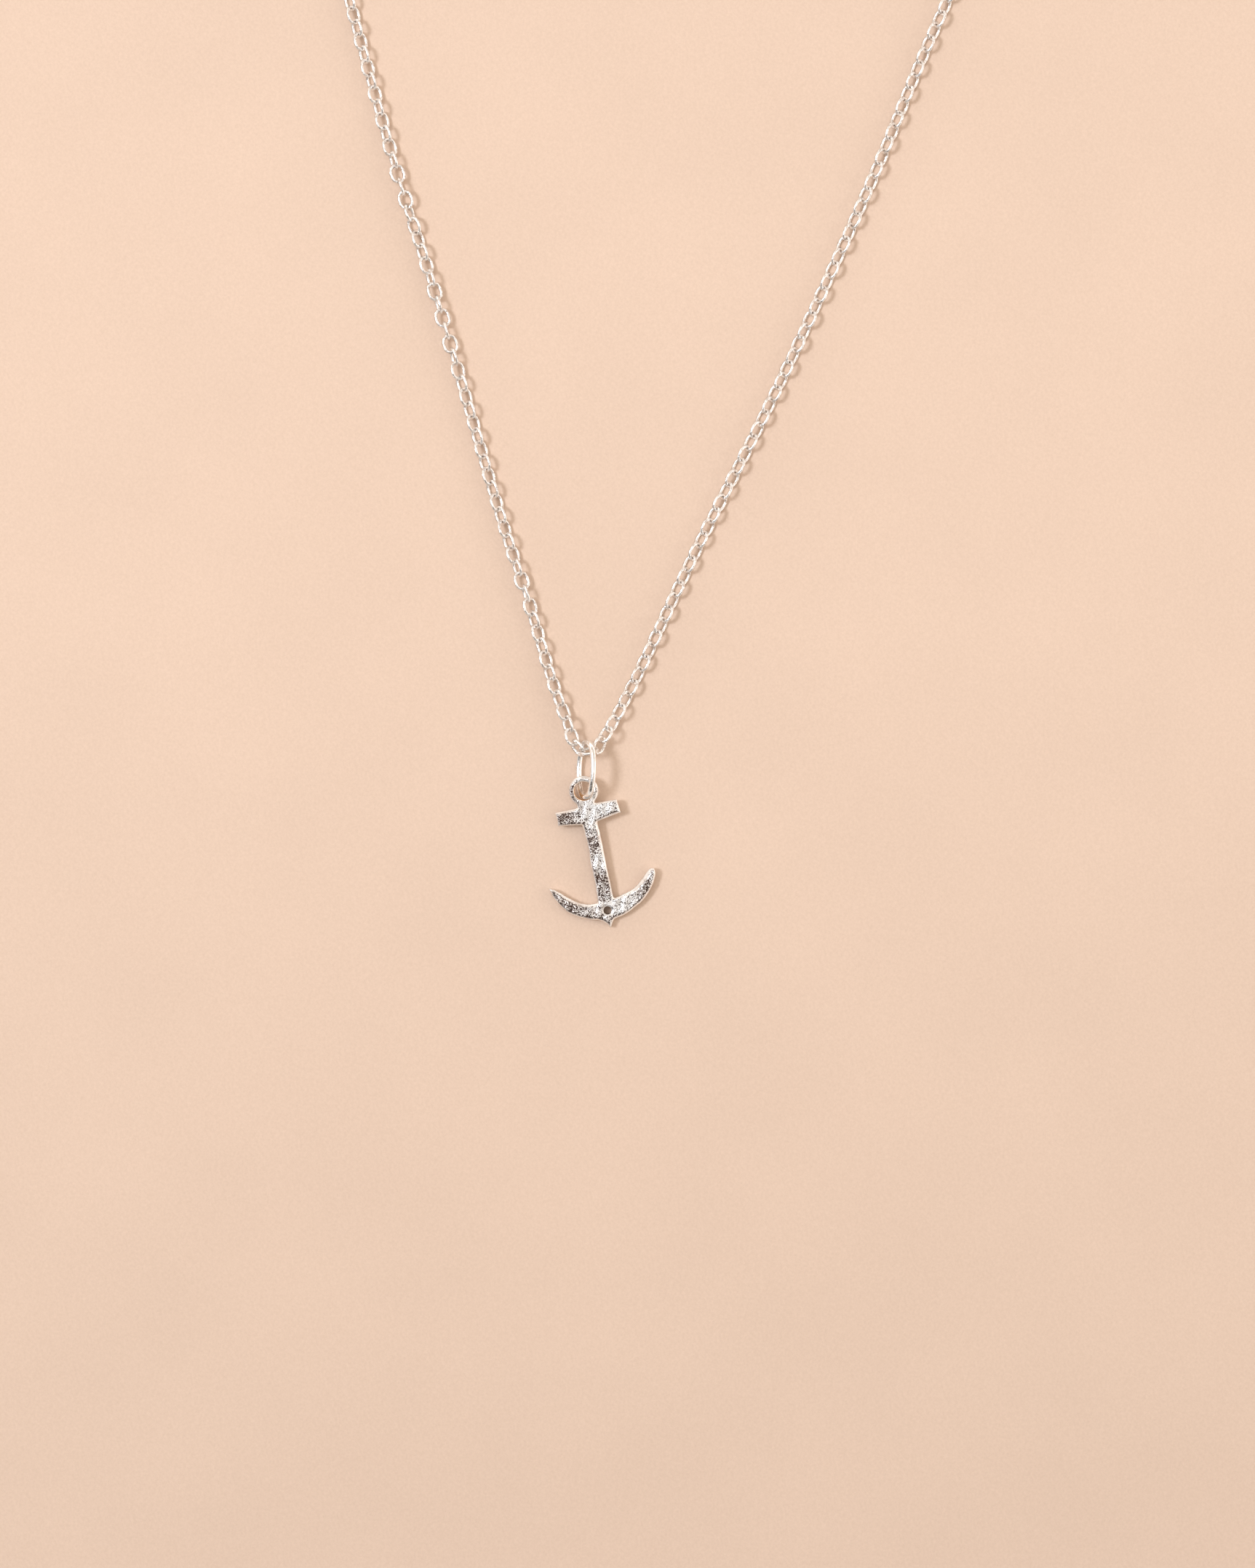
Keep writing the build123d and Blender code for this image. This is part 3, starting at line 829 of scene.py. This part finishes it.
class NECKLACE_OT_anchor(bpy.types.Operator):
    """Makes the cast anchor: two grainy faces with soft rubbed rims, joined by its sides"""

    bl_idname = "necklace.anchor"
    bl_label = "Anchor"

    def execute(self, context):
        plate = context.scene.necklace_anchor
        corners, squares, edges = outline_sheet(
            lambda x, y: anchor_field(x, y, plate), OUTLINE_LOW, OUTLINE_HIGH, plate.mesh_step / MM)
        count = len(corners)
        from_eye = np.hypot(*corners.T)
        from_crown = np.hypot(corners[:, 0], corners[:, 1] + CROWN_HOLE_DROP)
        # Distance to the outer edge, and the way that the nearest part of it faces
        starts, ends = corners[edges[:, 0]], corners[edges[:, 1]]
        at_eye = from_eye[edges[:, 0]] < (plate.eye_hole + plate.eye_outer) / MM / 4
        at_crown = from_crown[edges[:, 0]] < plate.crown_hole / MM
        outer = ~at_eye & ~at_crown
        depth, which = nearest_edge(corners, starts[outer], ends[outer])
        way = (ends - starts)[outer][which]
        facing = np.arctan2(-way[:, 0], way[:, 1])
        rim = np.full(count, plate.rim / MM)
        for x, y, turn, added, reach in FILED_SPOTS:
            turned = np.clip(np.cos(facing - math.radians(turn)), 0, 1)
            rim += added * soft_spot(corners, x, y, reach) * turned
        eye_depth = np.abs(from_eye - plate.eye_hole / MM / 2)
        crown_depth = np.abs(from_crown - plate.crown_hole / MM / 2)
        round_crown = np.arctan2(corners[:, 1] + CROWN_HOLE_DROP, corners[:, 0])
        crown_rim = CROWN_RIM + CROWN_RIM_ADDED * np.clip(np.cos(round_crown + 0.25), 0, 1) ** 2
        # Heights of the two faces over the plate's middle
        half = plate.thickness / MM / 2
        fall = np.maximum.reduce([
            edge_drop(depth, rim, RIM_DROP * rim, RIM_FULLNESS),
            edge_drop(eye_depth, EYE_RIM, EYE_RIM_DROP, EYE_RIM_FULLNESS),
            edge_drop(crown_depth, crown_rim, CROWN_RIM_DROP * crown_rim, 1.0),
        ])
        wave = sum(
            height * np.sin(2 * np.pi * (corners[:, 0] / along + corners[:, 1] / up) + phase)
            for along, up, phase, height in FACE_WAVES)
        front = half - FACE_SINK - fall + wave
        back = -(half - FACE_SINK) + fall + wave[::-1] * 0.3
        # Masks for the finish, some of them painted shade and painted reflection
        edge_share = np.minimum.reduce([depth / rim, eye_depth / EYE_RIM, crown_depth / 0.2])
        rubbed = np.clip(1.25 - edge_share, 0, 1)
        rubbed = rubbed * rubbed * (3 - 2 * rubbed)
        # Duller faces, plus the painted shade patches and painted highlight spots from the table
        dull_and_shade = np.full(count, FACE_DULL)
        for x, y, reach, amount in SHADE_AND_SHEEN_SPOTS:
            dull_and_shade += amount * soft_spot(corners, x, y, reach)
        # Painted shade: a dark line inside the rims that face the near left
        line = np.exp(-((depth - SHADE_LINE_PLACE * rim) / SHADE_LINE_REACH) ** 2)
        line = line * np.clip(1.6 * np.cos(facing - math.radians(SHADE_LINE_FACING)), 0, 1)
        dull_and_shade = np.clip(dull_and_shade, 0, 1) + SHADE_LINE_AMOUNT * line
        sides = [front, 0.6 * front, 0.6 * back, back]
        layers = [np.column_stack([corners, level]) for level in sides]
        # The two faces, and the side wall as strips of squares between the layers' outlines
        faces = [squares, squares[:, ::-1] + 3 * count]
        a, b = edges.T
        for layer in range(3):
            top, bottom = layer * count, (layer + 1) * count
            faces.append(np.stack([b + top, a + top, a + bottom, b + bottom], -1))
        points, faces = np.concatenate(layers), np.concatenate(faces)
        rubbed = np.concatenate([rubbed, np.ones(2 * count), rubbed])
        dull_and_shade = np.tile(dull_and_shade, 4)
        # Painted shade: the crown hole's walls are near black, so that the hole looks dark
        bore = np.zeros(4 * count)
        bore[count:3 * count] = np.tile(crown_depth < 0.05, 2)
        # Painted reflection: amber on the eye's rim and wall, strongest on the lower left, for the shaded
        # peach paper that the wall reflects
        round_eye = np.arctan2(corners[:, 1], corners[:, 0])
        shaded = np.clip(1.7 - eye_depth / 0.11, 0, 1) * (0.3 + 0.7 * np.clip(np.cos(round_eye + 2.6), 0, 1))
        shaded = np.tile(shaded, 4)
        used, faces = np.unique(faces, return_inverse=True)
        # Laid where the CAD's plate lies: its place and tilt are those of the crown's hole
        mount = next(m for m in FRAME["record"]["mounts"] if m["name"] == "crown_hole")
        tilt = math.acos(mount["axis"][2])
        spin = np.array([[math.cos(plate.turn), -math.sin(plate.turn), 0],
                         [math.sin(plate.turn), math.cos(plate.turn), 0], [0, 0, 1]])
        lean = np.array([[1, 0, 0], [0, math.cos(tilt), -math.sin(tilt)],
                         [0, math.sin(tilt), math.cos(tilt)]])
        points = points[used] + np.array([0, CROWN_HOLE_DROP, 0])
        points = np.array(mount["pos_m"]) + MM * points @ (spin @ lean).T
        look = context.scene.necklace_silver
        wear = shared("Uneven polish", wear_group)
        grain = shared("Cast grain", grain_group)
        finish = shared("Cast silver", cast_silver, wear, grain, look)
        piece = add_mesh("anchor_casting", points, faces.reshape(-1, 4), finish,
                         [("rubbed", rubbed[used]), ("dull_and_shade", dull_and_shade[used]), ("bore", bore[used]),
                          ("shaded", shaded[used])])
        replace_node(piece, "anchor")
        return {"FINISHED"}


def area_light(name, place, target, size, power, colour):
    """Round soft light that faces its target and isn't seen by the camera."""
    light = bpy.data.lights.new(name, "AREA")
    light.shape = "DISK"
    light.size = size
    light.energy = power
    light.color = colour
    lamp = bpy.data.objects.new(name, light)
    place, target = np.array(place), np.array(target)
    back = place - target
    lamp.location = place
    turn = math.atan2(back[1], back[0]) + math.pi / 2
    lamp.rotation_euler = (math.acos(back[2] / np.linalg.norm(back)), 0, turn)
    lamp.visible_camera = False
    bpy.context.scene.collection.objects.link(lamp)


def soft_room(stage):
    """Room of soft light: a skylight a little to the left of overhead, warm upper walls that are dark
    on the near left, and pale lower walls all round."""
    world = bpy.data.worlds.new("Room")
    world.use_nodes = True
    tree = world.node_tree
    room = tree.nodes["Background"]
    direction = add_node(tree, "ShaderNodeTexCoord", (-1200, 0)).outputs["Generated"]
    height = add_node(tree, "ShaderNodeSeparateXYZ", (-1000, 0), Vector=direction).outputs["Z"]
    smooth = {"interpolation_type": "SMOOTHSTEP"}
    dot = {"operation": "DOT_PRODUCT"}
    towards_sky = add_node(tree, "ShaderNodeVectorMath", (-1000, 300), dot, _0=direction, _1=SKY_WAY)
    sky = add_node(tree, "ShaderNodeMapRange", (-700, 300), smooth, Value=towards_sky.outputs["Value"],
                   From_Min=0.87, From_Max=0.985, To_Min=0.0, To_Max=stage.skylight)
    near_left = add_node(tree, "ShaderNodeVectorMath", (-1000, -300), dot, _0=direction, _1=NEAR_LEFT)
    upper = add_node(tree, "ShaderNodeMapRange", (-700, -300), smooth, Value=near_left.outputs["Value"],
                     From_Min=0.12, From_Max=0.5, To_Min=stage.upper_walls, To_Max=0.15 * stage.upper_walls)
    low = add_node(tree, "ShaderNodeMapRange", (-700, 0), smooth, Value=height, From_Min=0.50,
                   From_Max=0.28, To_Min=0.0, To_Max=stage.walls)
    bright = add_node(tree, "ShaderNodeMath", (-450, 100), {"operation": "ADD"}, _0=sky.outputs[0],
                      _1=low.outputs[0])
    total = add_node(tree, "ShaderNodeMath", (-250, 100), {"operation": "ADD"}, _0=bright.outputs[0],
                     _1=upper.outputs[0])
    ceiling = add_node(tree, "ShaderNodeMapRange", (-700, 600), smooth, Value=height, From_Min=0.82,
                       From_Max=0.97, To_Min=0.0, To_Max=0.75)
    whiter = add_node(tree, "ShaderNodeMath", (-450, 400), {"operation": "ADD"}, _0=bright.outputs[0],
                      _1=ceiling.outputs[0])
    colour = add_node(tree, "ShaderNodeMix", (-250, 350), {"data_type": "RGBA"}, _0=whiter.outputs[0],
                      _6=DIM_COLOUR, _7=BRIGHT_COLOUR)
    tree.links.new(total.outputs[0], room.inputs["Strength"])
    tree.links.new(colour.outputs[2], room.inputs["Color"])
    return world


class NECKLACE_OT_stage(bpy.types.Operator):
    """Makes the paper, the lights and the camera"""

    bl_idname = "necklace.stage"
    bl_label = "Stage"

    def execute(self, context):
        scene = context.scene
        stage = scene.necklace_stage
        half, level = PAPER_HALF, PAPER_LEVEL
        floor = add_mesh("paper", [(-half, -half, level), (half, -half, level), (half, half, level),
                                   (-half, half, level)], [(0, 1, 2, 3)], pale_paper(stage))
        area_light("Key", KEY_PLACE, VIEW, KEY_SIZE, stage.key, KEY_COLOUR)
        area_light("Fill", FILL_PLACE, VIEW, FILL_SIZE, stage.fill, FILL_COLOUR)
        scene.world = soft_room(stage)
        camera = bpy.data.cameras.new("Camera")
        camera.sensor_width = 36
        camera.lens = camera.sensor_width * stage.view_height / stage.view_length
        camera.clip_start, camera.clip_end = 0.01, 10
        eye = bpy.data.objects.new("Camera", camera)
        eye.location = (VIEW[0], VIEW[1], stage.view_height)
        scene.collection.objects.link(eye)
        scene.camera = eye
        scene.view_settings.view_transform = "Standard"
        return {"FINISHED"}


class NECKLACE_PT_pieces(bpy.types.Panel):
    """Sizes, finishes and the pieces to make"""

    bl_idname = "NECKLACE_PT_pieces"
    bl_label = "Anchor Pendant Necklace"
    bl_space_type = "VIEW_3D"
    bl_region_type = "UI"
    bl_category = "Necklace"

    def draw(self, context):
        for title, settings, operators in PIECES:
            box = self.layout.box()
            box.label(text=title)
            group = getattr(context.scene, settings)
            for name in group.__annotations__:
                box.prop(group, name)
            for operator in operators:
                box.operator(operator)


PIECES = [
    ("Stage", "necklace_stage", ["necklace.stage"]),
    ("Anchor", "necklace_anchor", ["necklace.anchor"]),
    ("Rings", "necklace_rings", ["necklace.jump_ring", "necklace.clasp"]),
    ("Chain", "necklace_chain", ["necklace.chain"]),
    ("Silver", "necklace_silver", []),
]
SETTINGS = {
    "necklace_chain": ChainSizes,
    "necklace_rings": RingSizes,
    "necklace_anchor": AnchorSizes,
    "necklace_silver": SilverLook,
    "necklace_stage": StageLook,
}
CLASSES = (
    *SETTINGS.values(), NECKLACE_OT_chain, NECKLACE_OT_jump_ring, NECKLACE_OT_clasp, NECKLACE_OT_anchor,
    NECKLACE_OT_stage, NECKLACE_PT_pieces,
)


def register():
    for kind in CLASSES:
        bpy.utils.register_class(kind)
    for name, kind in SETTINGS.items():
        setattr(bpy.types.Scene, name, bpy.props.PointerProperty(type=kind))


def unregister():
    for name in SETTINGS:
        delattr(bpy.types.Scene, name)
    for kind in reversed(CLASSES):
        bpy.utils.unregister_class(kind)


def main():
    register()
    bpy.ops.necklace.stage()
    bpy.ops.necklace.anchor()
    bpy.ops.necklace.jump_ring()
    bpy.ops.necklace.clasp()
    bpy.ops.necklace.chain()


if __name__ == "__main__":
    main()
